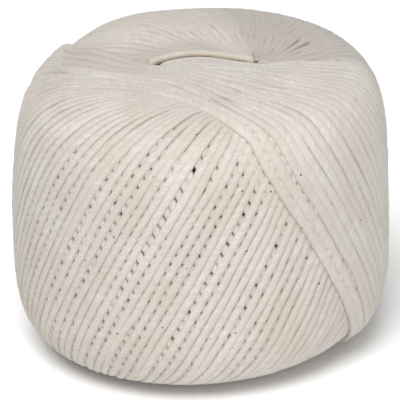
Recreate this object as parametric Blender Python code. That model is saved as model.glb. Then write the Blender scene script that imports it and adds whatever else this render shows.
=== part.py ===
"""Ball of soft cotton string, wound crosswise on a spindle into a squat barrel.

Every turn leans against the axis and runs from the top face to the bottom face and back, so the
surface is two families of crossing lines. The turns walk slowly round the axis: the newest sheet
lies over the older one and ends in a step one string thick, once on each side of the ball. The
spindle's hole has closed to a slit in the top face. Metres, +Z up, standing at the origin.
"""

import math

import bmesh
import bpy

# Wound form
BALL_RADIUS = 0.0494
TOP_HEIGHT = 0.0431          # widest level to top face
BOTTOM_HEIGHT = 0.0403       # widest level to bottom face
SQUARENESS = 4.6             # exponent of the barrel's outline, 2 would be an ellipse
LEAN = 0.028                 # sideways drift of the form for each metre of height
FLAT_SPOT_PRESS = 0.0009     # how far the bottom face is pressed flat

# Winding
WIND_ANGLE = math.radians(30)         # between a turn and the axis
TWIST_COUNT = 24                      # main twists of each sheet, of about four turns each
TWIST_HEIGHT = 0.0010                 # valley to crest
SHEET_THICKNESS = 0.0022              # the step where the newest sheet ends
DOWN_SHEET_EDGE = math.radians(309)   # where the newest downward turn crosses the widest level
UP_SHEET_EDGE = math.radians(122)     # where the newest upward turn crosses it

# Ends
TOP_HOLE_RADIUS = 0.0094     # the spindle's hole before it closed, same girth as the slit
TOP_DISH_REACH = 0.0176      # from the slit outwards
TOP_DISH_DEPTH = 0.0017
SLIT_HALF_WIDTH = 0.0009
SLIT_DEPTH = 0.007
SLIT_CENTRE = (0.0016, -0.0031)
SLIT_TURN = math.radians(-4.8)        # of the slit's long axis from X
SLIT_ARCH = 0.0048           # how far the near lip bulges across at its middle
ARCH_FALL = 1.5              # how gently the bulge dies out at the slit's ends
SQUEEZE_RADIUS = 0.038       # the closing of the hole fades out here
BOTTOM_HOLE_RADIUS = 0.0055
BOTTOM_DISH_REACH = 0.0135   # from the hole outwards
BOTTOM_DISH_DEPTH = 0.0030

COTTON_COLOUR = (0.68, 0.62, 0.54, 1.0)
COTTON_ROUGHNESS = 0.95

LINES_PER_TWIST = 3          # a valley and the two shoulders of the crest
COLUMNS = LINES_PER_TWIST * TWIST_COUNT
COLUMN_STEP = 2 * math.pi / COLUMNS
ROW_TURN = COLUMN_STEP / 2   # a turn crosses half a column from one row to the next


def smooth(value):
    """Ease from 0 to 1 as value goes from 0 to 1."""
    value = min(max(value, 0.0), 1.0)
    return value * value * (3 - 2 * value)


def barrel_point(angle, height):
    """Radius and height on the barrel's outline, from widest level (0) to axis (pi / 2)."""
    radius = BALL_RADIUS * math.cos(angle) ** (2 / SQUARENESS)
    return radius, height * math.sin(angle) ** (2 / SQUARENESS)


def winding_rows(height, hole_radius):
    """Outline points from the widest level to the hole, one for each row of crossings."""
    rows = [(BALL_RADIUS, 0.0)]
    steps = 6000
    last = rows[0]
    turned = 0.0
    for step in range(1, steps):
        point = barrel_point(math.pi / 2 * (step / steps) ** 2, height)
        run = math.hypot(point[0] - last[0], point[1] - last[1])
        turned += math.tan(WIND_ANGLE) * run / point[0]
        last = point
        if point[0] < hole_radius:
            break
        if turned >= ROW_TURN * len(rows):
            rows.append(point)
    return rows


def slit_rows(lip_radius, lip_height):
    """The walls of the slit, from just under its lips to its floor."""
    return [(lip_radius, lip_height - depth * SLIT_DEPTH) for depth in (0.12, 0.45, 1.0)]


TOP_ROWS = winding_rows(TOP_HEIGHT, TOP_HOLE_RADIUS)
BOTTOM_ROWS = winding_rows(-BOTTOM_HEIGHT, BOTTOM_HOLE_RADIUS)
SLIT_ROWS = slit_rows(*TOP_ROWS[-1])
ROWS = SLIT_ROWS[::-1] + TOP_ROWS[::-1] + BOTTOM_ROWS[1:]
WIDEST_ROW = len(SLIT_ROWS) + len(TOP_ROWS) - 1
FLOOR_LEVEL = BOTTOM_HEIGHT - FLAT_SPOT_PRESS
SLIT_HALF_LENGTH = TOP_HOLE_RADIUS * math.pi / 2


def outward(row):
    """Unit normal of the outline at a row, as (radial, upward)."""
    upper = ROWS[max(row - 1, 0)]
    lower = ROWS[min(row + 1, len(ROWS) - 1)]
    radial = upper[1] - lower[1]
    upward = lower[0] - upper[0]
    length = math.hypot(radial, upward)
    return radial / length, upward / length


def sheet_relief(column, row):
    """How far the winding stands off the plain barrel where two lines cross."""
    crossing = column + row - WIDEST_ROW
    down_age = (column * COLUMN_STEP - DOWN_SHEET_EDGE) % (2 * math.pi)
    up_age = (crossing * COLUMN_STEP - UP_SHEET_EDGE) % (2 * math.pi)
    top_line = column if down_age < up_age else crossing
    twist = TWIST_HEIGHT * (-0.5 if top_line % LINES_PER_TWIST == 0 else 0.5)
    sheet = SHEET_THICKNESS * (0.5 - min(down_age, up_age) / math.pi)
    end_fade = smooth((ROWS[row][0] / BALL_RADIUS - 0.6) / 0.35)
    twist_fade = smooth((ROWS[row][0] - TOP_HOLE_RADIUS) / (SQUEEZE_RADIUS - TOP_HOLE_RADIUS))
    return twist * twist_fade + sheet * end_fade


def slit_arch(along):
    """How far the slit lies across its straight line, at a distance along it."""
    return SLIT_ARCH * max(0.0, 1 - (along / SLIT_HALF_LENGTH) ** 2) ** ARCH_FALL


def turn_with_slit(along, across):
    """From distances along and across the slit to x and y."""
    x = along * math.cos(SLIT_TURN) - across * math.sin(SLIT_TURN)
    y = along * math.sin(SLIT_TURN) + across * math.cos(SLIT_TURN)
    return x, y


def slit_line():
    """Points along the middle of the slit."""
    points = []
    for step in range(-12, 13):
        along = SLIT_HALF_LENGTH * step / 12
        x, y = turn_with_slit(along, slit_arch(along))
        points.append((x + SLIT_CENTRE[0], y + SLIT_CENTRE[1]))
    return points


SLIT_LINE = slit_line()


def close_hole(x, y, radius):
    """Squeeze the top face across, so that the round hole becomes an arched slit."""
    squeeze = 1 - smooth((radius - TOP_HOLE_RADIUS) / (SQUEEZE_RADIUS - TOP_HOLE_RADIUS))
    along = x * math.cos(SLIT_TURN) + y * math.sin(SLIT_TURN)
    across = y * math.cos(SLIT_TURN) - x * math.sin(SLIT_TURN)
    along *= 1 + squeeze * (SLIT_HALF_LENGTH / TOP_HOLE_RADIUS - 1)
    across *= 1 - squeeze * (1 - SLIT_HALF_WIDTH / TOP_HOLE_RADIUS)
    x, y = turn_with_slit(along, across + squeeze * slit_arch(along))
    return x + squeeze * SLIT_CENTRE[0], y + squeeze * SLIT_CENTRE[1]


def top_level(radius):
    """Height of the plain top face above the widest level."""
    return TOP_HEIGHT * max(0.0, 1 - (radius / BALL_RADIUS) ** SQUARENESS) ** (1 / SQUARENESS)


def dish(depth, reach, distance):
    """How deep a dish is at a distance from the hole that it surrounds."""
    return depth * (1 - smooth(distance / reach))


def surface_point(column, row):
    """Place of the crossing of a column line with a row."""
    plain_radius, height = ROWS[row]
    relief = sheet_relief(column, row)
    radial, upward = outward(row)
    radius = plain_radius + relief * radial
    height += relief * upward
    angle = column * COLUMN_STEP + (row - WIDEST_ROW) * ROW_TURN
    x = radius * math.cos(angle)
    y = radius * math.sin(angle)
    if row > WIDEST_ROW:
        height += dish(BOTTOM_DISH_DEPTH, BOTTOM_DISH_REACH, plain_radius - BOTTOM_HOLE_RADIUS)
    elif plain_radius < SQUEEZE_RADIUS:
        x, y = close_hole(x, y, plain_radius)
        height += top_level(math.hypot(x, y)) - top_level(plain_radius)
        height -= dish(TOP_DISH_DEPTH, TOP_DISH_REACH, min(math.dist((x, y), point) for point in SLIT_LINE))
    x += LEAN * height
    return x, y, max(height + FLOOR_LEVEL, 0.0)


def pole_point(row):
    """Middle of the first or last row: the floor of the slit, or of the bottom dimple."""
    ring = [surface_point(column, row) for column in range(COLUMNS)]
    return [sum(values) / COLUMNS for values in zip(*ring)]


def cotton_material():
    material = bpy.data.materials.new("natural_cotton")
    material.use_nodes = True
    shader = material.node_tree.nodes["Principled BSDF"]
    shader.inputs["Base Color"].default_value = COTTON_COLOUR
    shader.inputs["Roughness"].default_value = COTTON_ROUGHNESS
    shader.inputs["Metallic"].default_value = 0.0
    return material


def centre_on_axis(ball):
    """Move the ball sideways, so that its extents are even about the origin."""
    xs = [vert.co.x for vert in ball.verts]
    ys = [vert.co.y for vert in ball.verts]
    drift = (-(min(xs) + max(xs)) / 2, -(min(ys) + max(ys)) / 2, 0.0)
    bmesh.ops.translate(ball, vec=drift, verts=ball.verts)


def wound_ball():
    """A sphere of rings, each moved to its row, so that its columns follow the downward turns."""
    mesh = bpy.data.meshes.new("string_ball")
    ball = bmesh.new()
    bmesh.ops.create_uvsphere(ball, u_segments=COLUMNS, v_segments=len(ROWS) + 1, radius=1.0)
    grid = {}
    for vert in ball.verts:
        row = round(math.acos(max(-1.0, min(1.0, vert.co.z))) / math.pi * (len(ROWS) + 1)) - 1
        column = round(math.atan2(vert.co.y, vert.co.x) / COLUMN_STEP) % COLUMNS
        if row < 0:
            vert.co = pole_point(0)
        elif row == len(ROWS):
            vert.co = pole_point(len(ROWS) - 1)
        else:
            vert.co = surface_point(column, row)
            grid[column, row] = vert
    # The second diagonal of each cell follows an upward turn.
    for (column, row), vert in grid.items():
        side = grid[(column + 1) % COLUMNS, row]
        below = grid.get((column, row + 1))
        if below:
            shared = set(side.link_faces) & set(below.link_faces)
            bmesh.utils.face_split(shared.pop(), side, below)
    bmesh.ops.recalc_face_normals(ball, faces=ball.faces)
    centre_on_axis(ball)
    ball.to_mesh(mesh)
    ball.free()
    mesh.shade_smooth()
    mesh.materials.append(cotton_material())
    return bpy.data.objects.new("string_ball", mesh)


for scene_object in list(bpy.data.objects):
    bpy.data.objects.remove(scene_object)
collection = bpy.data.collections.new("ball_of_string")
bpy.context.scene.collection.children.link(collection)
collection.objects.link(wound_ball())
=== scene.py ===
"""Ball of soft cotton string, wound crosswise into a squat barrel, on a pale studio floor.

Metres, +Z up. The ball stands at the origin. Angles round the axis count from +X towards +Y, and the
camera looks along +Y, so the front of the ball is at 270 degrees.
"""

import math

import bmesh
import bpy
import numpy as np
from mathutils import Matrix, Vector


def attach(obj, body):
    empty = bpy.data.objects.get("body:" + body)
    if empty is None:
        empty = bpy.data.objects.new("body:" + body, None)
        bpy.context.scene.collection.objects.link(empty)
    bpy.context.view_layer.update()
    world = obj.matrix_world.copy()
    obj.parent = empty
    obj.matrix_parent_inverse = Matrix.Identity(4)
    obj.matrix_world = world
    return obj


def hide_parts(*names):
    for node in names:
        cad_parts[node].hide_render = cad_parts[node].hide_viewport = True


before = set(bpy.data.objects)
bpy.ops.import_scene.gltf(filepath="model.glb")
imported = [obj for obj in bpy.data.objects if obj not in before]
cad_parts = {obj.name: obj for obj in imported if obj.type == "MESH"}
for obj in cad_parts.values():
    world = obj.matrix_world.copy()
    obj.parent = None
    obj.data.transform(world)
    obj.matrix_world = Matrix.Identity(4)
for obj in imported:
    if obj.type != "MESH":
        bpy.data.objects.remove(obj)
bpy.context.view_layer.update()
bpy.ops.object.select_all(action="DESELECT")

# ------------------------------
# Camera. A long lens a little above the ball, turned slightly in its mount, so that the ball seems
# to lean to the right.
WIDEST_LEVEL = 0.0394  # height of the ball's widest level above the floor
CAMERA_RISE = math.radians(24.46)
CAMERA_ROLL = math.radians(2.82)
CAMERA_DISTANCE = 1.742
CAMERA_LENS = 585.0  # mm, as the sensor
SENSOR_WIDTH = 36.0
AIM_RIGHT = -0.000115  # of the ball's middle, as the picture is framed
AIM_UP = -0.000418

look = Vector((0.0, math.cos(CAMERA_RISE), -math.sin(CAMERA_RISE)))
level_right = Vector((1.0, 0.0, 0.0))
level_up = level_right.cross(look)
picture_right = level_right * math.cos(CAMERA_ROLL) - level_up * math.sin(CAMERA_ROLL)
picture_up = level_right * math.sin(CAMERA_ROLL) + level_up * math.cos(CAMERA_ROLL)
aim = Vector((0.0, 0.0, WIDEST_LEVEL)) + picture_right * AIM_RIGHT + picture_up * AIM_UP
bpy.ops.object.camera_add(location=aim - look * CAMERA_DISTANCE)
camera = bpy.context.object
camera.name = "camera"
camera.rotation_euler = Matrix((picture_right, picture_up, -look)).transposed().to_euler()
camera.data.lens = CAMERA_LENS
camera.data.sensor_width = SENSOR_WIDTH
camera.data.clip_start = 0.1
camera.data.clip_end = 10.0
bpy.context.scene.camera = camera

# ------------------------------
# Wound form. Every turn of string lies on this barrel: straight sides, round shoulders, a shallow
# dish above, along the slit that is left of the spindle's hole, and a flat spot below.
BALL_RADIUS = 0.0500
TOP_HEIGHT = 0.0431  # widest level to top face
BOTTOM_HEIGHT = 0.0403  # more than the widest level, so the foot is flat
SQUARENESS = 4.6  # exponent of the outline, 2 would be an ellipse
LEAN = 0.028  # sideways drift for each metre of height
BOTTOM_HOLE_RADIUS = 0.0055
BOTTOM_DISH_REACH = 0.0135
BOTTOM_DISH_DEPTH = 0.0030
LIP_ROUNDING = 0.0020
HOLE_DEPTH = 0.0060
TOP_DISH_REACH = 0.0176  # from the slit outwards
TOP_DISH_DEPTH = 0.0017
SLIT_POINTS = (
    (-0.0127, -0.0022), (-0.0088, -0.0007), (-0.0047, 0.0010), (0.0000, 0.0014), (0.0037, 0.0004),
    (0.0071, -0.0012), (0.0110, -0.0031), (0.0159, -0.0048),
)
SLIT_STEP = 0.0006

# The far left shoulder is fuller than the rest, and the left flank below it is slacker. Each comes in
# from a run and from a radius on, over a way
SWELL_BEARING = math.radians(123)
SWELL_SPREAD = math.radians(22)
SWELL_HEIGHT = 0.0013
SWELL_RUN = (0.012, 0.030)
SWELL_RADIUS = (0.016, 0.016)
HOLLOW_BEARING = math.radians(172)
HOLLOW_SPREAD = math.radians(34)
HOLLOW_DEPTH = 0.0017
HOLLOW_RUN = (-0.002, 0.030)
HOLLOW_RADIUS = (0.026, 0.014)

OUTLINE_POINTS = 6001  # from pole to widest level
EVEN_POINTS = 2401  # of the whole outline, evenly spaced
ROUND_POINTS = 40  # of the bottom hole's lip, and of its wall
SMALL = 0.0001  # keeps neighbouring points apart
ON_AXIS = 1e-6


def smooth(value):
    """Ease from 0 to 1 as value goes from 0 to 1."""
    value = np.clip(value, 0.0, 1.0)
    return value * value * (3 - 2 * value)


def ease(value, begin, way):
    """Ease from 0 to 1 as value rises from begin over a way."""
    return smooth((value - begin) / way)


def ease_in(value, begin, way):
    """Ease from 0 to 1 as value falls from begin over a way."""
    return smooth((begin - value) / way)


def run_along(points):
    """Distance along a line of points."""
    return np.concatenate([[0.0], np.cumsum(np.linalg.norm(np.diff(points, axis=0), axis=1))])


def bridge(start, leaving, goal, arriving, part):
    """A smooth curve's points at a part of the way from start to goal, with its slopes at both."""
    square = part * part
    cube = square * part
    return (start * (2 * cube - 3 * square + 1) + leaving * (cube - 2 * square + part)
            + goal * (3 * square - 2 * cube) + arriving * (cube - square))


def through(points, step=0.0004):
    """An even, smooth curve through some points."""
    points = np.array(points, dtype=float)
    mark = run_along(points)
    slope = np.gradient(points, mark, axis=0)
    even_marks = np.linspace(0.0, mark[-1], int(mark[-1] / step) + 2)
    first = np.clip(np.searchsorted(mark, even_marks, side="right") - 1, 0, len(mark) - 2)
    span = (mark[first + 1] - mark[first])[:, None]
    part = (even_marks - mark[first])[:, None] / span
    return bridge(points[first], slope[first] * span, points[first + 1], slope[first + 1] * span, part)


def barrel_outline():
    """Run, radius, level and outward normal of the outline, run counted up from the widest level."""
    turn = math.pi / 4 * (1 - np.cos(np.linspace(0.0, math.pi, OUTLINE_POINTS)))
    radius = BALL_RADIUS * np.cos(turn) ** (2 / SQUARENESS)
    radius[-1] = 0.0
    height = np.sin(turn) ** (2 / SQUARENESS)
    top = np.stack([radius, TOP_HEIGHT * height], axis=1)
    keep = radius > BOTTOM_HOLE_RADIUS + LIP_ROUNDING
    sink = BOTTOM_DISH_DEPTH * (1 - ease(radius[keep], BOTTOM_HOLE_RADIUS, BOTTOM_DISH_REACH))
    low = np.stack([radius[keep], sink - BOTTOM_HEIGHT * height[keep]], axis=1)
    bend = np.linspace(0.0, math.pi / 2, ROUND_POINTS)[1:]
    lip = np.stack([BOTTOM_HOLE_RADIUS + LIP_ROUNDING * (1 - np.sin(bend)),
                    low[-1, 1] + LIP_ROUNDING * (1 - np.cos(bend))], axis=1)
    wall_levels = lip[-1, 1] + np.linspace(SMALL, HOLE_DEPTH, ROUND_POINTS)
    wall = np.stack([np.full(ROUND_POINTS, BOTTOM_HOLE_RADIUS), wall_levels], axis=1)
    low = np.concatenate([low, lip, wall])
    run = np.concatenate([-run_along(low)[:0:-1], run_along(top)])
    line = np.concatenate([low[:0:-1], top])
    grid = np.linspace(run[0], run[-1], EVEN_POINTS)
    radius = np.interp(grid, run, line[:, 0])
    level = np.interp(grid, run, line[:, 1])
    outward = np.gradient(level, grid)
    upward = -np.gradient(radius, grid)
    length = np.hypot(outward, upward)
    return grid, radius, level, outward / length, upward / length


RUNS, RADII, LEVELS, OUTWARDS, UPWARDS = barrel_outline()
TOP_HALF = RUNS >= 0
BOTTOM_LIP_RUN = RUNS[0] + HOLE_DEPTH
SLIT = through(SLIT_POINTS, SLIT_STEP)


def radius_at(run):
    return np.interp(run, RUNS, RADII)


def run_to(radius):
    """The run at which the top half has a radius."""
    return np.interp(-radius, -RADII[TOP_HALF], RUNS[TOP_HALF])


def slit_distance(x, y):
    """Distance in plan to the slit's middle line."""
    return np.min(np.hypot(x[:, None] - SLIT[:, 0], y[:, None] - SLIT[:, 1]), axis=1)


def on_barrel(run, angle):
    """A trace: run, x and y of points on the form before it leans."""
    return np.stack([run, radius_at(run) * np.cos(angle), radius_at(run) * np.sin(angle)], axis=1)


def on_top(points):
    """A trace of points given in plan, on the top half."""
    x, y = points.T
    return np.stack([run_to(np.hypot(x, y)), x, y], axis=1)


def normals(trace):
    """Outward normals of the form."""
    run, x, y = trace.T
    radius = np.maximum(np.hypot(x, y), ON_AXIS)
    outward = np.interp(run, RUNS, OUTWARDS) / radius
    upward = np.interp(run, RUNS, UPWARDS)
    return np.stack([outward * x, outward * y, upward], axis=1)


def places(trace, rise=0.0):
    """Points on the ball, at a rise above the form."""
    run, x, y = trace.T
    radius = radius_at(run)
    level = np.interp(run, RUNS, LEVELS)
    dish = TOP_DISH_DEPTH * (1 - smooth(slit_distance(x, y) / TOP_DISH_REACH))
    level = level - dish * (level > 0)
    angle = np.arctan2(y, x)
    swollen = np.exp(-((angle - SWELL_BEARING) / SWELL_SPREAD) ** 2)
    swollen = swollen * ease(run, *SWELL_RUN) * ease(radius, *SWELL_RADIUS)
    away = (angle - HOLLOW_BEARING + math.pi) % math.tau - math.pi
    hollow = np.exp(-(away / HOLLOW_SPREAD) ** 2) * ease(run, *HOLLOW_RUN)
    hollow = hollow * ease(radius, *HOLLOW_RADIUS)
    rise = rise + SWELL_HEIGHT * swollen - HOLLOW_DEPTH * hollow
    point = np.stack([x + LEAN * level, y, level + WIDEST_LEVEL], axis=1)
    return point + normals(trace) * np.reshape(rise, (-1, 1))


# ------------------------------
# String. Soft cotton twine. Each turn climbs one side of the ball, crosses the top close to the slit
# and runs down the other side. The turns walk round the axis, so the newest upward and the newest
# downward turns are the edges of two sheets, which lie over the older turns.
TURNS = 103
TURN_STEP = math.tau / TURNS
STRING_WIDTH = 0.00290
STRING_HEIGHT = 0.0022
WIDEST_TURN = 0.0034  # on the top face
LAYER = 0.0019  # one sheet over another
DOWN_EDGE = math.radians(309)  # the newest downward turn at the widest level
UP_EDGE = math.radians(146)  # the newest upward turn there
BAND_WIDTH = math.radians(24.5)  # newest upward turns, which lie the other way round
FACE_RUN = 0.03  # the top face begins at this run
TOP_STOP = 0.0280  # radius at which the law ends
HOLE_SHARE = 0.6  # of the bottom hole's depth that the turns run in
LAW_STEP = 0.0005  # between two points of a turn's law
LEAST_RADIUS = 0.003  # to which the law holds
STEEPEST = 0.985  # sine of the angle to the meridian, at most

# Wind offset (radius times the sine of the angle to the meridian) against radius, in metres.
DOWN_OFFSET = (
    (0.0280, 0.0300, 0.0340, 0.0370, 0.0400, 0.0430, 0.0450, 0.0465, 0.0480, 0.0492, 0.0500),
    (0.0140, 0.0150, 0.0185, 0.0238, 0.0258, 0.0235, 0.0135, 0.0130, 0.0175, 0.0225, 0.0247),
)
UP_OFFSET = (
    (0.0280, 0.0300, 0.0350, 0.0400, 0.0430, 0.0500),
    (0.0278, 0.0282, 0.0275, 0.0262, 0.0252, 0.0247),
)
LOW_OFFSET = (
    (0.0055, 0.0200, 0.0300, 0.0400, 0.0500),
    (0.0030, 0.0110, 0.0170, 0.0225, 0.0247),
)


def swing_table(end_run, offset):
    """Turn round the axis from the widest level on, against the distance run."""
    runs = np.arange(0.0, abs(end_run), LAW_STEP)
    radius = np.maximum(radius_at(runs * math.copysign(1.0, end_run)), LEAST_RADIUS)
    sine = np.clip(np.interp(radius, *offset) / radius, 0.0, STEEPEST)
    rate = sine / np.sqrt(1 - sine * sine) / radius
    swing = np.concatenate([[0.0], np.cumsum((rate[1:] + rate[:-1]) / 2 * np.diff(runs))])
    return runs, swing


TOP_END_RUN = run_to(TOP_STOP)
LOW_END_RUN = BOTTOM_LIP_RUN - HOLE_DEPTH * HOLE_SHARE
DOWN_SWING = swing_table(TOP_END_RUN, DOWN_OFFSET)
UP_SWING = swing_table(TOP_END_RUN, UP_OFFSET)
LOW_SWING = swing_table(LOW_END_RUN, LOW_OFFSET)


def swing_at(run, table):
    """Swing above the widest level by its own table, and below it the other way."""
    return np.where(run > 0, np.interp(run, *table), -np.interp(-run, *LOW_SWING))


def downward_run(start, radius):
    """A downward turn by the law, from a radius of the top face into the bottom hole."""
    runs = np.arange(run_to(radius), LOW_END_RUN, -LAW_STEP)
    return on_barrel(runs, start - swing_at(runs, DOWN_SWING))


def upward_run(start, radius):
    """An upward turn by the law, from the bottom hole to a radius of the top face."""
    runs = np.arange(LOW_END_RUN, run_to(radius), LAW_STEP)
    return on_barrel(runs, start + swing_at(runs, UP_SWING))


def down_age(trace):
    """How long ago, as an angle, a downward turn passed here."""
    angle = np.arctan2(trace[:, 2], trace[:, 1])
    return (angle + swing_at(trace[:, 0], DOWN_SWING) - DOWN_EDGE) % math.tau


def up_age(trace):
    """How long ago an upward turn passed here. The band's turns lie the other way round."""
    angle = np.arctan2(trace[:, 2], trace[:, 1])
    place = angle - swing_at(trace[:, 0], UP_SWING) - UP_EDGE + BAND_WIDTH
    return np.abs(place % math.tau - BAND_WIDTH)


STATION = 0.00125  # between two rings of a turn
FEWEST_RINGS = 8
CLOSE_RINGS = 17  # over a stretch that is made finer


def even(trace, close=0.0):
    """The same trace with its points a station apart, and much closer over its first stretch."""
    length = run_along(places(trace))
    count = max(int((length[-1] - close) / STATION), FEWEST_RINGS)
    at = np.linspace(close, length[-1], count)
    if close:
        at = np.concatenate([np.linspace(0.0, close, CLOSE_RINGS)[:-1], at])
    return np.stack([np.interp(at, length, column) for column in trace.T], axis=1)


FREE_ROOM = 0.0045  # room of a turn that has no neighbour
NEIGHBOURS = 3  # looked at on each side
FIT = 1.06  # turns lie pressed against each other
CROWDED = (0.0022, 0.0014)  # room in which they lie over each other
CROWDED_FIT = 0.45  # how much wider they are there
NARROWEST = 0.0005


def side_room(here, others):
    """Distance from a turn to the next one that shows. others are (points, shows), nearest first."""
    space = np.full(len(here), FREE_ROOM)
    for points, shows in reversed(others):
        gap = ((here[:, None] - points[None]) ** 2).sum(-1)
        nearest = np.argmin(gap, axis=1)
        gap = np.sqrt(gap[np.arange(len(here)), nearest])
        space = space + (gap - space) * shows[nearest]
    return space


def widths(sheet, limit):
    """Width that each turn of a sheet has between its neighbours. sheet is a list of (trace, shows)."""
    fine = []
    for trace, shows in sheet:
        points = places(trace)
        at = run_along(points)
        grid = np.arange(0.0, at[-1], LAW_STEP)
        dense = np.stack([np.interp(grid, at, column) for column in points.T], axis=1)
        fine.append((dense, np.interp(grid, at, shows)))
    result = []
    for place, (trace, _) in enumerate(sheet):
        here = places(trace)
        before = side_room(here, fine[max(place - NEIGHBOURS, 0):place][::-1])
        after = side_room(here, fine[place + 1:place + 1 + NEIGHBOURS])
        room = (before + after) / 2
        result.append(np.clip((FIT + CROWDED_FIT * ease_in(room, *CROWDED)) * room, NARROWEST, limit))
    return result


def fitted(width, room, radius, above, rim):
    """A turn's width, which becomes the room between its neighbours from the rim inwards."""
    return width + (room - width) * (ease_in(radius, *rim) * above)


OVER_TURN = math.radians(12)  # a turn needs this much to climb over another
EDGE_TURN = math.radians(14)  # and this much to come down before the other sheet's edge
EDGE_DIP = 0.95  # in layers
UNDER_SINK = 0.40  # how far a turn sinks under another, in layers
SLACK_SINK = 0.22  # the same where the sheets are slack
AXIS_SHARE = 0.3  # of a sheet's height, close to the axis
AXIS_FADE = (0.020, 0.020)  # radius from which it grows

# Turns that go under their neighbours round the bottom hole: of how many, which one, and the radii at
# which it begins and has finished to go down
CROWD_BELOW = ((2, 1, 0.0300, 0.0200), (4, 2, 0.0170, 0.0100), (8, 4, 0.0090, 0.0060))
CROWD_DEPTH = 1.15  # in heights of the string


def turn_rise(trace, own, other, edge, slack=0.0):
    """Height of a turn's top over the form, from its own age and the crossing sheet's."""
    sheet = LAYER * (0.5 - np.minimum(own, other) / math.pi)
    fade = AXIS_SHARE + (1 - AXIS_SHARE) * ease(radius_at(trace[:, 0]), *AXIS_FADE)
    under = ease(own, other, OVER_TURN)
    dip = np.maximum(EDGE_DIP * smooth(own / OVER_TURN) - own / math.pi, 0.0)
    before_edge = ease(other, edge - EDGE_TURN, EDGE_TURN) * dip * (own < other)
    sink = UNDER_SINK + (SLACK_SINK - UNDER_SINK) * slack
    return sheet * fade - LAYER * (sink * under + before_edge)


def crowd_sink(trace, index):
    """How deep a turn goes under its neighbours where they crowd together round the bottom hole."""
    below = trace[:, 0] < 0
    radius = radius_at(trace[:, 0])
    depth = np.zeros(len(trace))
    for every, which, begin, end in CROWD_BELOW:
        if index % every == which:
            depth = depth + below * STRING_HEIGHT * CROWD_DEPTH * ease_in(radius, begin, begin - end)
    return depth


SIDES = 12  # of a tube
SECTION_POWER = 2 / 2.6  # a little squarer than an ellipse
WAVES = (0.090, 0.041, 0.023, 0.011)  # lengths of the slow unevenness along a turn
WANDER = 0.00021  # sideways, of the longest wave
WANDER_POWER = 0.7  # how much less a shorter wave wanders
SWELL_WAVE = 0.6  # a swell's length, in lengths of a wave
SWELLING = 0.026  # share of width and height
STEADY_RADIUS = 0.040  # a turn wanders less inside it
PLY_TURN = 0.0085  # along the string, for one turn of its plies
PLY_STARTS = 6.28  # the plies begin at any angle, radians
SEED_SHIFT = 0.37  # between two turns' coordinates


def lay_turn(trace, rise, width, chance):
    """Rings of one turn. rise is the height of its top."""
    slim = np.minimum(width / STRING_WIDTH, 1.0) ** 0.5
    height = STRING_HEIGHT * slim
    centre = places(trace, rise - height / 2)
    normal = normals(trace)
    tangent = np.gradient(centre, axis=0)
    tangent /= np.linalg.norm(tangent, axis=1, keepdims=True)
    side = np.cross(tangent, normal)
    side /= np.linalg.norm(side, axis=1, keepdims=True)
    normal = np.cross(side, tangent)
    length = run_along(centre)
    steady = smooth(radius_at(trace[:, 0]) / STEADY_RADIUS) * slim
    wander = np.zeros(len(trace))
    swell = np.zeros(len(trace))
    for wave in WAVES:
        phase = chance.uniform(0, math.tau, 2)
        size = chance.normal(0, 1, 2)
        share = (wave / WAVES[0]) ** WANDER_POWER
        wander = wander + size[0] * np.sin(math.tau * length / wave + phase[0]) * share
        swell = swell + size[1] * np.sin(math.tau * length / (wave * SWELL_WAVE) + phase[1])
    centre = centre + side * (wander * WANDER * steady)[:, None]
    width = width * (1 + SWELLING * swell)
    height = height * (1 + SWELLING * swell)
    around = np.linspace(0.0, math.tau, SIDES, endpoint=False) + math.pi / 2
    cosine = np.sign(np.cos(around)) * np.abs(np.cos(around)) ** SECTION_POWER
    sine = np.sign(np.sin(around)) * np.abs(np.sin(around)) ** SECTION_POWER
    across = side[:, None, :] * (cosine[None, :] * width[:, None] / 2)[..., None]
    over = normal[:, None, :] * (sine[None, :] * height[:, None] / 2)[..., None]
    points = centre[:, None, :] + across + over
    points[..., 2] = np.maximum(points[..., 2], 0.0)
    return points, length, around


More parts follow.
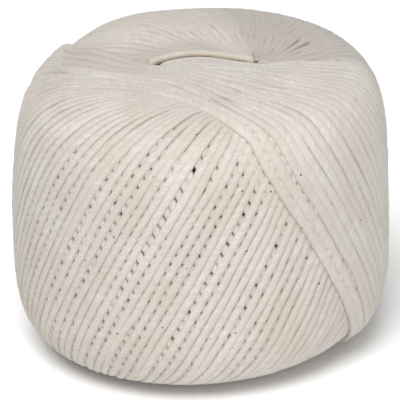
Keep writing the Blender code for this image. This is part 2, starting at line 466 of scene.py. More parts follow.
def string_mesh(name, turns):
    """One mesh of closed tubes. Each turn is (trace, rise, width, tone with painted shade, seed,
    painted shade and tint).
    """
    verts = []
    faces = []
    threads = []
    crests = []
    tones_and_painted_shades = []
    painted_shades_and_tints = []
    base = 0
    for trace, rise, width, tone_and_painted_shade, seed, painted_shade_and_tint in turns:
        chance = np.random.default_rng(seed)
        points, length, around = lay_turn(trace, rise, width, chance)
        rings = len(trace)
        verts.append(points.reshape(-1, 3))
        ring = np.arange(rings - 1)[:, None] * SIDES + base
        this = np.arange(SIDES)[None, :]
        following = (this + 1) % SIDES
        corners = [ring + this, ring + following, ring + SIDES + following, ring + SIDES + this]
        faces.extend(np.stack(corners, axis=-1).reshape(-1, 4).tolist())
        faces.append((base + np.arange(SIDES)[::-1]).tolist())
        faces.append((base + (rings - 1) * SIDES + np.arange(SIDES)).tolist())
        ply = around[None, :] + math.tau * length[:, None] / PLY_TURN + chance.uniform(0, PLY_STARTS)
        thread = np.stack([np.repeat(length[:, None], SIDES, axis=1) + seed * SEED_SHIFT,
                           np.cos(ply) * STRING_WIDTH / 2, np.sin(ply) * STRING_WIDTH / 2], axis=-1)
        threads.append(thread.reshape(-1, 3))
        crests.append(np.repeat(np.sin(around)[None, :], rings, axis=0).reshape(-1))
        tones_and_painted_shades.append(np.repeat(tone_and_painted_shade * np.ones(rings), SIDES))
        painted_shades_and_tints.append(np.repeat(painted_shade_and_tint * np.ones(rings), SIDES))
        base += rings * SIDES
    mesh = bpy.data.meshes.new(name)
    mesh.from_pydata(np.concatenate(verts).tolist(), [], faces)
    piece = bpy.data.objects.new(name, mesh)
    bpy.context.scene.collection.objects.link(piece)
    layer = mesh.attributes.new("thread", "FLOAT_VECTOR", "POINT")
    layer.data.foreach_set("vector", np.concatenate(threads).astype(np.float32).reshape(-1))
    for label, values in (("crest", crests), ("tone_and_painted_shade", tones_and_painted_shades), ("painted_shade_and_tint", painted_shades_and_tints)):
        layer = mesh.attributes.new(label, "FLOAT", "POINT")
        layer.data.foreach_set("value", np.concatenate(values).astype(np.float32))
    mesh.shade_smooth()
    shape = bmesh.new()
    shape.from_mesh(mesh)
    bmesh.ops.recalc_face_normals(shape, faces=shape.faces)
    shape.to_mesh(mesh)
    shape.free()
    return piece


def set_inputs(material, node, values):
    """Give a node's inputs their values, or a link where a value is another node's output."""
    for label, value in values.items():
        if isinstance(value, bpy.types.NodeSocket):
            material.node_tree.links.new(value, node.inputs[label])
        else:
            node.inputs[label].default_value = value


def new_material(name, values):
    """A material with the values of its shader."""
    material = bpy.data.materials.new(name)
    material.use_nodes = True
    set_inputs(material, material.node_tree.nodes["Principled BSDF"], values)
    return material


def add_node(material, kind, values, **settings):
    """A new node of a material, with its inputs' values and its own settings."""
    node = material.node_tree.nodes.new(kind)
    for key, value in settings.items():
        setattr(node, key, value)
    set_inputs(material, node, values)
    return node


def cotton():
    """Undyed cotton: matt cream with seed specks, and painted shade: darker and browner down between
    the turns, in the slit and on some turns.
    """
    warm = (0.490, 0.450, 0.398, 1.0)
    pale = (0.530, 0.498, 0.460, 1.0)
    greyed = (0.36, 0.327, 0.290, 1.0)
    streak = (0.34, 0.30, 0.255, 1.0)
    thick_spot = (0.41, 0.365, 0.315, 1.0)
    painted_groove_shade = (0.33, 0.235, 0.155, 1.0)
    seed_speck = (0.06, 0.035, 0.02, 1.0)
    tan = (0.42, 0.31, 0.20, 1.0)
    painted_deep_shade = (0.075, 0.043, 0.022, 1.0)
    # Places of the colour sockets on a Mix node, which has others for numbers and vectors
    factor_in, low_in, high_in, colour_out = 0, 6, 7, 2

    material = new_material("natural_cotton_twine", {
        "Roughness": 0.92, "Specular IOR Level": 0.2, "Sheen Weight": 0.25, "Sheen Roughness": 0.6,
    })

    def attribute(name, output):
        return add_node(material, "ShaderNodeAttribute", {}, attribute_name=name).outputs[output]

    def stretched(source, along, across):
        """Coordinates of the thread, scaled along and across it."""
        values = {"Vector": source, "Scale": (along, across, across)}
        return add_node(material, "ShaderNodeMapping", values).outputs["Vector"]

    def noise(source, scale, detail, roughness=0.5):
        values = {"Vector": source, "Scale": scale, "Detail": detail, "Roughness": roughness}
        return add_node(material, "ShaderNodeTexNoise", values).outputs["Fac"]

    def mix(factor, low, high):
        """A colour between two, each of which is a colour or another node's output."""
        values = {factor_in: factor, low_in: low, high_in: high}
        return add_node(material, "ShaderNodeMix", values, data_type="RGBA").outputs[colour_out]

    def spread(value, from_low, from_high, to_low, to_high):
        values = {"Value": value, "From Min": from_low, "From Max": from_high}
        values.update({"To Min": to_low, "To Max": to_high})
        node = add_node(material, "ShaderNodeMapRange", values, interpolation_type="SMOOTHSTEP")
        return node.outputs["Result"]

    place = add_node(material, "ShaderNodeTexCoord", {}).outputs["Object"]
    thread = attribute("thread", "Vector")
    painted_shade_and_tint = attribute("painted_shade_and_tint", "Fac")
    patches = noise(place, 70.0, 3.0)
    fibres = noise(stretched(thread, 260.0, 2600.0), 1.0, 4.0, 0.6)
    slubs = noise(stretched(thread, 330.0, 1000.0), 1.0, 2.0)

    colour = mix(spread(patches, 0.35, 0.65, 0.0, 1.0), warm, pale)
    # Greyer with the tone attribute: each turn's random tone, and painted shade on some turns
    colour = mix(spread(attribute("tone_and_painted_shade", "Fac"), -0.8, 4.0, 0.0, 0.95), colour, greyed)
    colour = mix(spread(fibres, 0.48, 0.72, 0.0, 0.45), colour, streak)
    colour = mix(spread(slubs, 0.38, 0.62, 0.45, 0.0), colour, thick_spot)
    # Painted shade: the sides and underside of each tube darker and browner, where the turns press
    # together
    colour = mix(spread(attribute("crest", "Fac"), 0.60, -0.10, 0.0, 0.58), colour, painted_groove_shade)

    # Seed specks: a small spot in the middle of a few cells
    cells = add_node(material, "ShaderNodeTexVoronoi", {"Vector": place, "Scale": 260.0}).outputs
    split = add_node(material, "ShaderNodeSeparateColor", {"Color": cells["Color"]})
    spot = spread(cells["Distance"], 0.05, 0.10, 1.0, 0.0)
    few = spread(split.outputs["Red"], 0.78, 0.80, 0.0, 1.0)
    speck = add_node(material, "ShaderNodeMath", {0: spot, 1: few}, operation="MULTIPLY")
    colour = mix(speck.outputs["Value"], colour, seed_speck)
    # Painted shade in the slit and on slipped turns, tan and then dark brown, and the faint brown tint
    # at the rim
    colour = mix(spread(painted_shade_and_tint, 0.0, 0.35, 0.0, 0.55), colour, tan)
    colour = mix(spread(painted_shade_and_tint, 0.30, 0.90, 0.0, 0.92), colour, painted_deep_shade)

    relief = {"Strength": 0.9, "Distance": 0.00035, "Height": fibres}
    bump = add_node(material, "ShaderNodeBump", relief)
    shader = material.node_tree.nodes["Principled BSDF"]
    set_inputs(material, shader, {"Base Color": colour, "Normal": bump.outputs["Normal"]})
    return material


dice = np.random.default_rng(20)
groups = {
    "downward_turns_a": [], "downward_turns_b": [], "upward_turns_a": [], "upward_turns_b": [],
    "band_turns": [],
}

# ------------------------------
# Band. The newest turns were wound last and lie side by side across the top, from the left shoulder
# past the near lip of the slit and down the right side. One slack turn has closed up along the slit's
# far lip. All are soft cotton string, a little spread where they are pressed together.
MM = 1000.0  # millimetres in a metre

# Lanes are counted from the sheet's edge towards the slit. Plan places in millimetres, the lanes' y at
# each x, and how often each is evened.
LANE_X = (-33.0, -28.0, -23.0, -18.0, -13.0, -8.0, -3.5, 1.5, 6.0, 11.0, 16.0, 21.0)
LANES = (0.0, 2.0, 3.0, 5.0, 7.0, 8.0, 8.5, 11.5)
LANE_Y = (
    (-9.5, -14.2, -16.6, -18.6, -21.6, -26.4, -30.4, -33.8, -38.4, -42.6, -46.2, -49.0),
    (-4.8, -9.9, -12.5, -13.9, -14.6, -15.8, -21.7, -28.2, -34.0, -38.5, -42.0, -45.0),
    (-2.4, -7.7, -10.4, -11.9, -12.6, -14.0, -18.8, -25.2, -30.2, -35.0, -39.0, -42.0),
    (2.3, -3.4, -6.2, -8.0, -9.6, -11.0, -14.8, -18.6, -22.9, -27.4, -31.3, -35.0),
    (7.0, 1.0, -2.1, -3.8, -6.9, -8.4, -11.4, -13.2, -14.3, -17.8, -22.4, -26.0),
    (9.3, 3.1, -0.1, -1.7, -5.8, -7.6, -10.9, -12.6, -10.9, -9.9, -13.5, -18.2),
    (10.5, 4.2, 1.0, -0.6, -4.0, -6.2, -8.9, -10.6, -9.2, -8.5, -12.0, -16.5),
    (11.5, 5.2, 1.6, -2.0, -3.8, -1.4, 0.2, 0.2, -1.6, -4.1, -6.0, -7.4),
)
EVENINGS = (0, 1, 1, 1, 2, 2, 2, 0)

# The band, from the sheet's edge to the slit: lane, number of the downward run, and how it shows.
# "dips" and "early" go under the others left of the slit, "ends" goes under them on the near side,
# "lip" comes up at the slit's left end, and a number is the x in millimetres where a turn comes up.
BAND = (
    (0.35, 0, "all"), (1.0, 1, "early"), (1.65, 1.6, "ends"), (2.5, 2.2, "all"), (3.0, 3, 4.0),
    (3.5, 4, "dips"), (4.0, 5, 2.0), (4.5, 6, "all"), (5.0, 7, 7.0), (5.5, 8, "dips"), (6.0, 9, 3.0),
    (6.5, 10, "all"), (7.0, 11, 5.0), (7.4, 12, "dips"), (7.8, 13, 6.0), (8.5, 14, "all"),
    (9.0, 15, 10.0), (9.5, 16, "lip"), (10.0, 17, 13.0), (10.5, 18, "lip"), (11.0, 19, 16.0),
    (11.5, 20, "lip"),
)
WHOLE_TURNS = ("all", "dips", "early", "ends")
LIP_GUIDE = 3  # first of the lanes' places that guides a turn of the lip
LATE_GUIDE = 6  # and one that comes up later

BAND_START = 147.0  # bearing of lane 0 at the widest level, degrees
LANE_TURN = 3.0  # from lane to lane, degrees
RISE_RADIUS = 0.041  # where a rising run of the band leaves its law
FALL_RADIUS = 0.036  # and a falling run follows it again
TAKEN = 5  # points at a law's end that the curve over the top replaces
GUIDED = 9  # points of it that guide the curve
LEFT_GUIDES = 0.0375  # the lanes' places guide a turn inside this radius, left
RIGHT_GUIDES = 0.0335  # and right of the axis
GUIDE_GAP = 0.003  # and this far from the falling run
RIM_GUIDE_GAP = 0.004  # outside of that radius


def evened(values, times):
    """Values with their small swings eased out, the ends kept."""
    values = np.array(values)
    for _ in range(times):
        values[1:-1] = (values[:-2] + 2 * values[1:-1] + values[2:]) / 4
    return values


LANE_PLACES = np.stack([evened(values, times) for values, times in zip(LANE_Y, EVENINGS)], axis=1)


def lane_y(lane):
    """A lane's y at each x."""
    return np.array([np.interp(lane, LANES, column) for column in LANE_PLACES])


def nearest_place(curve, point):
    """Number of the curve's point that is nearest to another point."""
    return np.argmin(np.linalg.norm(curve - point, axis=1))


def joined(across, falling, rising=None):
    """Plan points over the top and a falling run as one trace, after a rising run if there is one."""
    last_x = falling[0, 1]

    def clear_of_falling(point):
        near = RIM_GUIDE_GAP if math.hypot(*point) >= RIGHT_GUIDES else GUIDE_GAP
        return point[0] < 0 or point[0] < last_x - near

    guides = list(across)
    if rising is not None:
        guides = [point for point in guides if math.hypot(*point) < LEFT_GUIDES or point[0] > 0]
        guides = [rising[-GUIDED, 1:], rising[-TAKEN, 1:], rising[-1, 1:]] + guides
    guides = [point for point in guides if clear_of_falling(point)]
    curve = through(guides + [falling[0, 1:], falling[TAKEN, 1:], falling[GUIDED, 1:]])
    stop = nearest_place(curve, falling[TAKEN, 1:])
    if rising is None:
        return np.concatenate([on_top(curve[:stop]), falling[TAKEN:]])
    first = nearest_place(curve, rising[-TAKEN, 1:])
    return np.concatenate([rising[:-TAKEN], on_top(curve[first:stop]), falling[TAKEN:]])


def band_trace(lane, newest, kind):
    """A turn of the band. newest counts its downward run from the newest one."""
    across = np.stack([LANE_X, lane_y(lane)], axis=1) / MM
    falling = downward_run(DOWN_EDGE + TURN_STEP * newest, FALL_RADIUS)
    if kind in WHOLE_TURNS:
        rising = upward_run(math.radians(BAND_START - LANE_TURN * lane), RISE_RADIUS)
        return joined(across, falling, rising)
    return joined(across[LIP_GUIDE if kind == "lip" else LATE_GUIDE:], falling)


DIP_START = (-0.038, 0.006)  # x where a turn goes under the others, and its way
DIP_END = {"dips": (-0.018, 0.008), "early": (-0.028, 0.008)}
DIP_FAR_Y = 0.02  # on the near side of this y only
END_WAY = 0.008  # over which "ends" goes under, from the axis on
LIP_START = (-0.0150, 0.0070)
LATE_WAY = 7.0  # millimetres over which a late turn comes up


def band_shows(trace, kind):
    """1 where a band turn lies in sight, 0 where it has gone under its neighbours."""
    run, x, y = trace.T
    if kind in DIP_END:
        on_face = run > FACE_RUN
        return 1 - on_face * ease(x, *DIP_START) * (1 - ease(x, *DIP_END[kind])) * (y < DIP_FAR_Y)
    if kind == "ends":
        return 1 - smooth(x / END_WAY) * (y < 0)
    if kind == "lip":
        return ease(x, *LIP_START)
    if kind == "all":
        return np.ones(len(trace))
    return ease(x * MM, kind, LATE_WAY)


BAND_RIM = (0.046, 0.006)  # radius inside which the turns are fitted
UNCROSSED = 9.0  # an age that is never reached
BAND_SINK = 0.0018  # how deep a turn lies where it has gone under
LIP_SINK = 0.0036  # the same for a turn of the lip
EDGE_PRESS = 0.0008  # the sheet's first turns are pressed down towards its edge
PRESSED_TURNS = 2.2
LIP_DROP = 0.0005  # how much lower the near lip lies than the far one
LIP_REACH = (0.0015, 0.0060)  # from the slit
LAST_LANE = 11.5  # the lip itself, which is thin
LAST_WIDTH = 0.0017
BAND_FIT = (1.06, 1.12)
BAND_SEED = 3000

# Painted shade on the turns left of the slit, which are greyer: from and to an x, and from a lane on
LEFT_SHADE_FROM = (-0.008, 0.010)
LEFT_SHADE_TO = (-0.031, 0.007)
LEFT_SHADE_LANE = (2.5, 3.0)
LEFT_SHADE_RUN = 0.02
LEFT_SHADE_TONE = 2.0

band = []
for lane, newest, kind in BAND:
    trace = even(band_trace(lane, newest, kind))
    band.append((trace, band_shows(trace, kind)))
for place, ((trace, shows), room) in enumerate(zip(band, widths(band, WIDEST_TURN))):
    lane, newest, kind = BAND[place]
    run, x, y = trace.T
    width = fitted(STRING_WIDTH, room, radius_at(run), run > 0, BAND_RIM)
    own = np.full(len(trace), newest * TURN_STEP)
    rise = turn_rise(trace, own, own + 1.0, UNCROSSED) - crowd_sink(trace, int(newest))
    rise = rise - (LIP_SINK if kind == "lip" else BAND_SINK) * (1 - shows)
    rise = rise - EDGE_PRESS * max(1 - newest / PRESSED_TURNS, 0.0)
    near_slit = (1 - ease(slit_distance(x, y), *LIP_REACH)) * (run > FACE_RUN)
    rise = rise - LIP_DROP * near_slit
    if lane == LAST_LANE:
        width = width + (np.minimum(width, LAST_WIDTH) - width) * near_slit
    width = width * dice.uniform(*BAND_FIT)
    left_shade = ease_in(x, *LEFT_SHADE_FROM) * (1 - ease_in(x, *LEFT_SHADE_TO)) * ease(lane, *LEFT_SHADE_LANE)
    # Random tone, plus painted shade on the turns left of the slit
    tone_and_painted_shade = dice.uniform(0, 1) + LEFT_SHADE_TONE * left_shade * (run > LEFT_SHADE_RUN)
    groups["band_turns"].append((trace, rise, width, tone_and_painted_shade, BAND_SEED + place, 0.0))

# The slack turn along the far lip. Both its ends go down into the slit.
FAR_LIP_OFFSET = 0.0013  # from the slit's middle line
FAR_LIP_CLOSING = 0.0010  # how much nearer to it the ends come
FAR_LIP_CLOSING_WAY = 0.0040
FAR_LIP_PAST = (0.0012, 0.0010)  # how far it reaches past the slit, left and right
FAR_LIP_GUIDES = 4  # every so many of the slit's points guide it
FAR_LIP_STATION = 0.0005
FAR_LIP_ENDS = (0.0022, 0.0020)  # length of the ends that go down, left and right
FAR_LIP_WIDTH = 0.0024
FAR_LIP_TAPER = 0.0012
FAR_LIP_RISE = 0.0006
FAR_LIP_FALL = 0.0014
FAR_LIP_TONE = 0.3
# Painted warm brown shade along the lip, much darker on its ends, which go down into the slit
FAR_LIP_SHADE = 0.10
FAR_LIP_END_SHADE = 0.4
FAR_LIP_SEED = 3100


def near_ends(length, first_way, last_way):
    """1 at both ends of a line and 0 between, from the distance along it."""
    return (1 - smooth(length / first_way)) + (1 - smooth((length[-1] - length) / last_way))


along = np.gradient(SLIT, axis=0)
along = along / np.linalg.norm(along, axis=1, keepdims=True)
beyond = np.stack([-along[:, 1], along[:, 0]], axis=1)
closing = near_ends(run_along(SLIT), FAR_LIP_CLOSING_WAY, FAR_LIP_CLOSING_WAY)
offset = FAR_LIP_OFFSET - FAR_LIP_CLOSING * closing
lip = (SLIT + beyond * offset[:, None])[::FAR_LIP_GUIDES]
left_end = lip[0] - along[0] * FAR_LIP_PAST[0]
right_end = lip[-1] + along[-1] * FAR_LIP_PAST[1]
trace = on_top(through(np.concatenate([[left_end], lip, [right_end]]), FAR_LIP_STATION))
ends = near_ends(run_along(trace[:, 1:]), *FAR_LIP_ENDS)
groups["band_turns"].append((
    trace, FAR_LIP_RISE - FAR_LIP_FALL * ends, FAR_LIP_WIDTH - FAR_LIP_TAPER * ends, FAR_LIP_TONE,
    FAR_LIP_SEED, FAR_LIP_SHADE + FAR_LIP_END_SHADE * ends,
))

# ------------------------------
# Older downward turns of the same string. Those of the far side come up out of the slit, fan out over
# the top and run down the ball. There is no room for all at the slit, so every other one goes under
# its neighbours before it. The last ones begin under the band.
FIRST_FAN = 21
LAST_FAN = 90  # the first turn that begins under the band
FAN_RADIUS = 0.0305  # where a turn of the fan begins to follow the law
PLAIN_RADIUS = 0.0290  # where one under the band begins
MOUTH_GAP = 0.0002  # from the slit's middle line to a turn's beginning
FAN_POINTS = 90
FAN_CLOSE = 0.0060  # first stretch of a turn, made finer
LOWEST_BEARING = -60

# Where the older turns leave the slit, and which way, against the bearing at which they reach the
# top's rim, in degrees and millimetres.
FAN_BEARING = (-30.0, -14.0, 8.0, 30.0, 50.0, 68.0, 90.0, 115.0, 135.0, 152.0, 168.0, 182.0, 300.0)
FAN_SLIT_X = (15.9, 15.9, 15.9, 15.9, 15.8, 15.4, 14.4, 12.0, 9.2, 5.6, -2.5, -8.5, -12.0)
FAN_HEADING = (-25.0, -8.0, 8.0, 45.0, 82.0, 98.0, 114.0, 132.0, 142.0, 148.0, 164.0, 186.0, 190.0)

# Turns that have slipped down between their neighbours: from and to, in mm from the slit, and how far
PARTINGS = {29: (7.0, 17.5, 0.55), 51: (-2.0, 5.5, 0.6), 46: (-1.0, 4.0, 0.3), 35: (1.0, 7.0, 0.2)}
PARTING_WAYS = (3.0, 2.5)  # mm over which one slips down, and comes up again

SLIPPED_STOP = 0.0015  # distance from the slit at which a slipped turn ends
HIDDEN_STOPS = (0.0060, 0.0120)  # and the other ones that go under
SHOW_FROM = (0.0015, 0.0075)  # from there on


def direction(vector):
    return vector / np.linalg.norm(vector)


def fan_trace(index):
    """An older downward turn: from the slit across the far side of the top, then down by the law."""
    falling = downward_run(DOWN_EDGE + TURN_STEP * index, FAN_RADIUS)
    bearing = math.degrees(math.atan2(falling[0, 2], falling[0, 1]))
    bearing = (bearing - LOWEST_BEARING) % 360 + LOWEST_BEARING
    mouth = np.interp(bearing, FAN_BEARING, FAN_SLIT_X) / MM
    mouth_y = np.interp(mouth, SLIT[:, 0], SLIT[:, 1])
    heading = math.radians(np.interp(bearing, FAN_BEARING, FAN_HEADING))
    way = np.array([math.cos(heading), math.sin(heading)])
    begin = np.array([mouth, mouth_y]) + way * MOUTH_GAP
    goal = falling[0, 1:]
    leave = direction(falling[3, 1:] - falling[0, 1:])
    reach = np.linalg.norm(goal - begin)
    part = np.linspace(0.0, 1.0, FAN_POINTS)[:-1, None]
    return np.concatenate([on_top(bridge(begin, way * reach, goal, leave * reach, part)), falling])


def downward_turn(index):
    """Trace of an older downward turn, and where it shows."""
    if index >= LAST_FAN:
        trace = even(downward_run(DOWN_EDGE + TURN_STEP * index, PLAIN_RADIUS))
        return trace, np.ones(len(trace))
    trace = even(fan_trace(index), FAN_CLOSE)
    if index % 2 == 0:
        return trace, np.ones(len(trace))
    distance = slit_distance(trace[:, 1], trace[:, 2])
    stop = SLIPPED_STOP if index in PARTINGS else dice.uniform(*HIDDEN_STOPS)
    away = (distance > stop) | (trace[:, 0] < FACE_RUN)
    trace = trace[away]
    shows = ease(distance[away] - stop, *SHOW_FROM)
    return trace, np.where(trace[:, 0] < FACE_RUN, 1.0, shows)


def parting(index, trace):
    """How far a turn has slipped down between its neighbours, along its way."""
    if index not in PARTINGS:
        return np.zeros(len(trace))
    first, last, depth = PARTINGS[index]
    down_way, up_way = PARTING_WAYS
    distance = slit_distance(trace[:, 1], trace[:, 2]) * MM
    share = ease(distance, first, down_way) * (1 - ease(distance, last, up_way))
    return depth * share * (trace[:, 0] > FACE_RUN)


# The sheets are slack low on the front left, in their middle years
LOOSE_FROM = (math.radians(22), math.radians(30))
LOOSE_TO = (math.radians(150), math.radians(25))
LOOSE_UNDER = (0.0275, 0.020)  # up to this run, and its way


def loose_share(trace, age):
    """Where the sheet is slack enough to show gaps."""
    years = ease(age, *LOOSE_FROM)
    years = years * (1 - ease(age, *LOOSE_TO))
    return years * (1 - ease(trace[:, 0], *LOOSE_UNDER))


EDGE_SLANT = 0.75  # distance to an edge of the band for each metre in y
FAR_EDGE_Y = np.array(LANE_Y[6]) + 1.2
FAR_EDGE_END = (-0.0140, 0.003)  # x where the far edge ends, at the slit
FAR_OUTSIDE = 0.02


def inside_far_edge(trace):
    """How far a point of the top lies under the band's far edge, left of the slit."""
    edge = np.interp(trace[:, 1] * MM, LANE_X, FAR_EDGE_Y) / MM
    return EDGE_SLANT * (edge - trace[:, 2]) - FAR_OUTSIDE * ease(trace[:, 1], *FAR_EDGE_END)


UNDER_AGE = 7.0  # added to the crossing sheet's age on the top face
CROSSED_RIM = (0.0320, 0.005)
DOWN_SINK = 0.0017  # how deep a turn lies where it has gone under
LIP_HEIGHT = 0.0005  # of the turns round the slit
LIP_HEIGHT_REACH = 0.0080
PLUNGE_START = 0.0007  # from the slit, where a turn falls into it
PLUNGE_WAY = 0.0013
PLUNGE_DEPTH = 0.0040
TIP_CLOSING = 0.45  # how much shorter the fall is at the slit's tips
RIGHT_TIP = (0.0105, 0.0040)
LEFT_TIP = (-0.0125, 0.0030)
PLUNGE_SHADED = 0.12  # share of the fall at which a turn is fully in painted shade
SLIP_DEPTH = 0.0022
UNDER_FAR_EDGE = (-0.0010, 0.0030)
BAND_TOP = (0.041, 0.003)  # radius inside which the band is on top
TOP_RIM = (0.047, 0.005)  # the same for the older turns
DOWN_SLACK = 0.135  # how much narrower a slack turn is
SLIP_NARROWING = 0.16  # how much narrower the turns beside a slipped one are
TIGHT_WIDENING = 0.09
FAR_RIM = (0.026, 0.010)
FAR_RIM_WIDENING = 0.18
DOWN_FIT = (0.97, 1.04)
DOWN_SEED = 1000
SECOND_DOWN_PIECE = 56  # its first turn

# Painted shade, as greyer turns: the far right ones, more so on the top, and the far left ones beside
# the slit
FAR_RIGHT_FROM = (19, 4)
FAR_RIGHT_TO = (42, 10)
FAR_RIGHT_SHADE = 1.0
FAR_RIGHT_TOP_SHADE = 2.2
FAR_RIGHT_TOP = (0.018, 0.020)
FAR_LEFT_FROM = (54, 8)
LEFT_LIP_REACH = (0.0060, 0.0070)
LEFT_LIP_SHADE = 2.0

down = [downward_turn(index) for index in range(FIRST_FAN, TURNS)]
for index, ((trace, shows), room) in enumerate(zip(down, widths(down, WIDEST_TURN)), FIRST_FAN):
    run, x, y = trace.T
    radius = radius_at(run)
    above = run > 0
    on_face = run > FACE_RUN
    distance = slit_distance(x, y)
    own = np.full(len(trace), index * TURN_STEP)
    other = up_age(trace) + UNDER_AGE * (1 - ease(radius, *CROSSED_RIM)) * above
    loose = loose_share(trace, np.minimum(own, up_age(trace)))
    rise = turn_rise(trace, own, other, math.tau - BAND_WIDTH, loose) - crowd_sink(trace, index)
    rise = rise - DOWN_SINK * (1 - shows)
    painted_shade_and_tint = np.zeros(len(trace))
    narrow = np.zeros(len(trace))
    if index < LAST_FAN:
        near_slit = 1 - smooth(distance / LIP_HEIGHT_REACH)
        rise = rise + (LIP_HEIGHT - rise) * near_slit * shows * on_face
        if index % 2 == 0:
            from_slit = distance + 1.0 * (run < FACE_RUN)
            tip = ease(x, *RIGHT_TIP) + 1 - ease(x, *LEFT_TIP)
            plunge_way = PLUNGE_WAY * (1 - TIP_CLOSING * tip)
            plunge = 1 - ease(from_slit, PLUNGE_START * (1 - tip), plunge_way)
            rise = rise - PLUNGE_DEPTH * plunge
            # Painted shade, darkest where the turn falls into the slit
            painted_shade_and_tint = smooth(plunge / PLUNGE_SHADED)
        slipped = parting(index, trace)
        rise = rise - SLIP_DEPTH * slipped
        # Painted shade also on a turn that has slipped down between its neighbours
        painted_shade_and_tint = np.maximum(painted_shade_and_tint, slipped)
        narrow = np.maximum(parting(index - 1, trace), parting(index + 1, trace))
        sunk = ease(inside_far_edge(trace), *UNDER_FAR_EDGE) * above * (x < 0)
        rise = rise - LAYER * sunk * ease_in(radius, *BAND_TOP)
    width = fitted(STRING_WIDTH * (1 - DOWN_SLACK * loose), room, radius, above, TOP_RIM)
    width = width * (1 - SLIP_NARROWING * narrow) * (1 + TIGHT_WIDENING * (1 - loose))
    width = width * (1 + FAR_RIM_WIDENING * (ease(radius, *FAR_RIM) * above * (y > 0)))
    far_right = ease(index, *FAR_RIGHT_FROM) * (1 - ease(index, *FAR_RIGHT_TO))
    left_lip = ease(index, *FAR_LEFT_FROM) * (1 - ease(distance, *LEFT_LIP_REACH))
    tone_and_painted_shade = dice.uniform(0, 1)
    # Random tone, plus painted shade on the far right turns and on the far left ones beside the slit
    tone_and_painted_shade = tone_and_painted_shade + far_right * (FAR_RIGHT_SHADE + FAR_RIGHT_TOP_SHADE * ease(run, *FAR_RIGHT_TOP))
    tone_and_painted_shade = tone_and_painted_shade + LEFT_LIP_SHADE * left_lip * on_face
    width = width * dice.uniform(*DOWN_FIT)
    name = "downward_turns_a" if index < SECOND_DOWN_PIECE else "downward_turns_b"
    groups[name].append((trace, rise, width, tone_and_painted_shade, DOWN_SEED + index, painted_shade_and_tint))

# ------------------------------
# Older upward turns of the same string. They climb the ball the other way and go in under the band at
# the top, and behind they end under the fan. Where they are slack, on the front, gaps are left.
MISSING_TURNS = 7  # the oldest ones, which the band's upward runs cover
UP_RADIUS = 0.031  # where a turn leaves the law
AHEAD_STEP = 0.0004  # between two points of its way on
AHEAD_REACH = 0.045
HIDDEN_INSIDE = 0.0035  # from the band's near edge, where a turn ends unseen
BAND_BEARINGS = (180, 285)  # between these a turn reaches the band
BESIDE_BEARING = 220  # up to this one it may miss the band's edge
BENT_REACH = 0.0220  # length of a turn that bends in under the edge
BENT_WAY = 0.0150  # over which it bends
BENT_SLANT = 0.85  # how much of it is along x
BENT_INSIDE = 0.0042  # how far inside the edge it gets


def near_edge_y(x):
    """The y of the band's near edge."""
    return np.interp(x * MM, LANE_X, LANE_Y[0]) / MM


def inside_edge(trace):
    """How far a point of the top lies beyond the band's near edge, towards the slit."""
    return EDGE_SLANT * (trace[:, 2] - near_edge_y(trace[:, 1]))


def under_the_edge(start, way):
    """The way on for a turn that would run beside the band: it bends in under the band's near edge."""
    reach = np.arange(AHEAD_STEP, BENT_REACH, AHEAD_STEP)
    straight = start + way * reach[:, None]
    share = smooth(reach / BENT_WAY)
    x = start[0] + BENT_SLANT * reach
    inside = inside_edge(on_top(start[None]))[0]
    y = near_edge_y(x) + (inside + (BENT_INSIDE - inside) * share) / EDGE_SLANT
    return on_top(straight + (np.stack([x, y], axis=1) - straight) * share[:, None])


def upward_trace(index):
    """An older upward turn, which runs straight on over the rim until it is well under the band."""
    rising = upward_run(UP_EDGE + TURN_STEP * (index + 0.5), UP_RADIUS)
    last = rising[-1, 1:]
    way = direction(last - rising[-4, 1:])
    ahead = on_top(last + way * np.arange(AHEAD_STEP, AHEAD_REACH, AHEAD_STEP)[:, None])
    hidden = np.nonzero(inside_edge(ahead) > HIDDEN_INSIDE)[0]
    bearing = math.degrees(math.atan2(last[1], last[0])) % 360
    first, final = BAND_BEARINGS
    stop = hidden[0] if len(hidden) and first < bearing < final else 2
    if not len(hidden) and bearing < BESIDE_BEARING:
        ahead = under_the_edge(last, way)
        stop = len(ahead)
    return np.concatenate([rising, ahead[:stop]])


UNDER_EDGE = (0.0008, 0.0030)  # distance inside the edge at which a turn goes under the band
UNDER_FROM = (-0.0350, 0.005)  # x from which it does
FRONT_BEARINGS = (180, 290)
UP_SINK = 0.9  # in layers
DIVING_TURNS = 4  # the first ones, which go down before they reach the edge
DIVE_EDGE = (-0.0024, 0.0016)
DIVE_RADIUS = (0.0318, 0.0020)
BACK_SINK = 0.0012  # how deep the ends behind lie
BACK_RADIUS = (0.0370, 0.004)
UP_SLACK = 0.165  # how much narrower a slack turn is
UP_SHIFT = 0.00029  # how far a slack turn lies from its place, mostly
UP_FIT = (0.96, 1.04)
UP_SEED = 2000
SECOND_UP_PIECE = 48  # its first turn

# A faint brown tint, painted on the upward turns where the sheet's edge bends over the rim
TINT_X = 0.0070
TINT_Y = -0.0385
TINT_REACH = (0.0005, 0.0070)
TINT_SHARE = 0.22

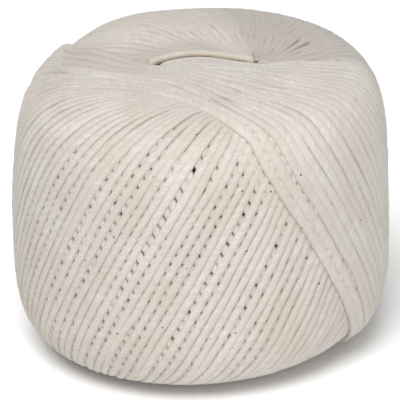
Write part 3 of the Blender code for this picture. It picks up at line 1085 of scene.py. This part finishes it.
up = [even(upward_trace(index)) for index in range(1, TURNS - MISSING_TURNS)]
up_rooms = widths([(trace, np.ones(len(trace))) for trace in up], STRING_WIDTH)
for row, (trace, room) in enumerate(zip(up, up_rooms)):
    run, x, y = trace.T
    radius = radius_at(run)
    above = run > 0
    own = np.full(len(trace), (row + 1) * TURN_STEP)
    other = down_age(trace)
    loose = loose_share(trace, np.minimum(own, other))
    rise = turn_rise(trace, own, other, math.tau, loose) - crowd_sink(trace, row)
    bearing = np.degrees(np.arctan2(y, x)) % 360
    first, final = FRONT_BEARINGS
    under_band = ease(inside_edge(trace), *UNDER_EDGE) * above * ease_in(radius, *BAND_TOP)
    under_band = under_band * (bearing > first) * (bearing < final) * ease(x, *UNDER_FROM)
    if row < DIVING_TURNS:
        dive = ease(inside_edge(trace), *DIVE_EDGE) * ease_in(radius, *DIVE_RADIUS) * above
        under_band = np.maximum(under_band, dive)
    rise = rise - LAYER * UP_SINK * under_band * (own < other)
    behind = (bearing < first) | (bearing > final)
    rise = rise - BACK_SINK * ease_in(radius, *BACK_RADIUS) * above * behind
    width = fitted(STRING_WIDTH * (1 - UP_SLACK * loose), room, radius, above, TOP_RIM)
    shift = dice.normal(0, UP_SHIFT) * loose / radius
    trace = on_barrel(run, np.arctan2(y, x) + shift)
    from_tint = np.hypot(trace[:, 1] - TINT_X, trace[:, 2] - TINT_Y)
    painted_shade_and_tint = TINT_SHARE * (1 - ease(from_tint, *TINT_REACH)) * above
    width = width * dice.uniform(*UP_FIT)
    tone_and_painted_shade = dice.uniform(0, 1)
    name = "upward_turns_a" if row < SECOND_UP_PIECE else "upward_turns_b"
    groups[name].append((trace, rise, width, tone_and_painted_shade, UP_SEED + row, painted_shade_and_tint))

# ------------------------------
# Pieces of string. Each sheet is made in two halves, so that no mesh grows too large, and the band in
# one. All are of the same undyed cotton, and every turn is a closed tube of its own.
twine = cotton()
for name, turns in groups.items():
    piece = string_mesh(name, turns)
    piece.data.materials.append(twine)
    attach(piece, "root")
    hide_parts("string_ball")

# ------------------------------
# Heart of the ball. The older turns under the two sheets, packed tight, seen only through the gaps and
# down in the slit, and coloured dark brown there as painted shade. A sphere drawn out to the barrel.
HEART_SINK = 0.0046
HEART_SIDES = 96
HEART_HOLE_SHARE = 0.5  # of the bottom hole's depth that it reaches in
PIT_DEPTH = 0.0040  # under the slit
PIT_REACH = 0.0045
LIFT = 0.0014  # under the middle of the top
LIFT_RADIUS = (0.032, 0.008)

bpy.ops.mesh.primitive_uv_sphere_add(segments=HEART_SIDES, ring_count=HEART_SIDES, radius=1.0)
heart = bpy.context.object
heart.name = "older_turns"
share = np.array([math.acos(max(-1.0, min(1.0, vert.co.z))) / math.pi for vert in heart.data.vertices])
angle = np.array([math.atan2(vert.co.y, vert.co.x) for vert in heart.data.vertices])
run = RUNS[-1] - SMALL + share * (BOTTOM_LIP_RUN - RUNS[-1] - HOLE_DEPTH * HEART_HOLE_SHARE)
trace = on_barrel(run, angle)
pit = PIT_DEPTH * (1 - smooth(slit_distance(trace[:, 1], trace[:, 2]) / PIT_REACH)) * (run > FACE_RUN)
lift = LIFT * ease_in(radius_at(run), *LIFT_RADIUS) * (run > 0)
for vert, place in zip(heart.data.vertices, places(trace, lift - HEART_SINK - pit)):
    vert.co = place
heart.data.shade_smooth()


def painted_shade_cotton():
    """Painted shade for the dark between the turns: cotton coloured brown, quite matt and unevenly
    toned.
    """
    material = new_material("painted_shade_cotton", {"Roughness": 1.0, "Specular IOR Level": 0.0})
    place = add_node(material, "ShaderNodeTexCoord", {}).outputs["Object"]
    noise = add_node(material, "ShaderNodeTexNoise", {"Vector": place, "Scale": 600.0})
    ramp = add_node(material, "ShaderNodeValToRGB", {"Fac": noise.outputs["Fac"]})
    ramp.color_ramp.elements[0].color = (0.26, 0.165, 0.10, 1.0)
    ramp.color_ramp.elements[1].color = (0.42, 0.30, 0.20, 1.0)
    shader = material.node_tree.nodes["Principled BSDF"]
    set_inputs(material, shader, {"Base Color": ramp.outputs["Color"]})
    return material


heart.data.materials.append(painted_shade_cotton())
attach(heart, "root")
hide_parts("string_ball")

# ------------------------------
# Floor and light. A pale seamless floor, a large soft light high above and a little in front of the
# ball, a weaker one from the right of the camera and below it, and an even white room.
bpy.ops.mesh.primitive_plane_add(size=8.0)
floor = bpy.context.object
floor.name = "floor"
paper = new_material("pale_paper", {"Base Color": (0.97, 0.97, 0.97, 1.0), "Roughness": 0.9})
floor.data.materials.append(paper)


def soft_light(name, place, size, power):
    """A round soft light that looks at the ball."""
    bpy.ops.object.light_add(type="AREA", location=place)
    light = bpy.context.object
    light.name = name
    light.data.shape = "DISK"
    light.data.size = size
    light.data.energy = power
    aim_at = Vector((0.0, 0.0, WIDEST_LEVEL)) - Vector(place)
    light.rotation_euler = aim_at.to_track_quat("-Z", "Y").to_euler()


soft_light("key", place=(-0.20, -0.70, 1.34), size=1.2, power=27.5)
soft_light("fill", place=(0.46, -1.68, 0.50), size=1.4, power=13.0)
world = bpy.data.worlds.new("room")
world.use_nodes = True
world.node_tree.nodes["Background"].inputs["Color"].default_value = (1.0, 1.0, 1.0, 1.0)
world.node_tree.nodes["Background"].inputs["Strength"].default_value = 0.355
bpy.context.scene.world = world
bpy.context.scene.view_settings.view_transform = "Standard"
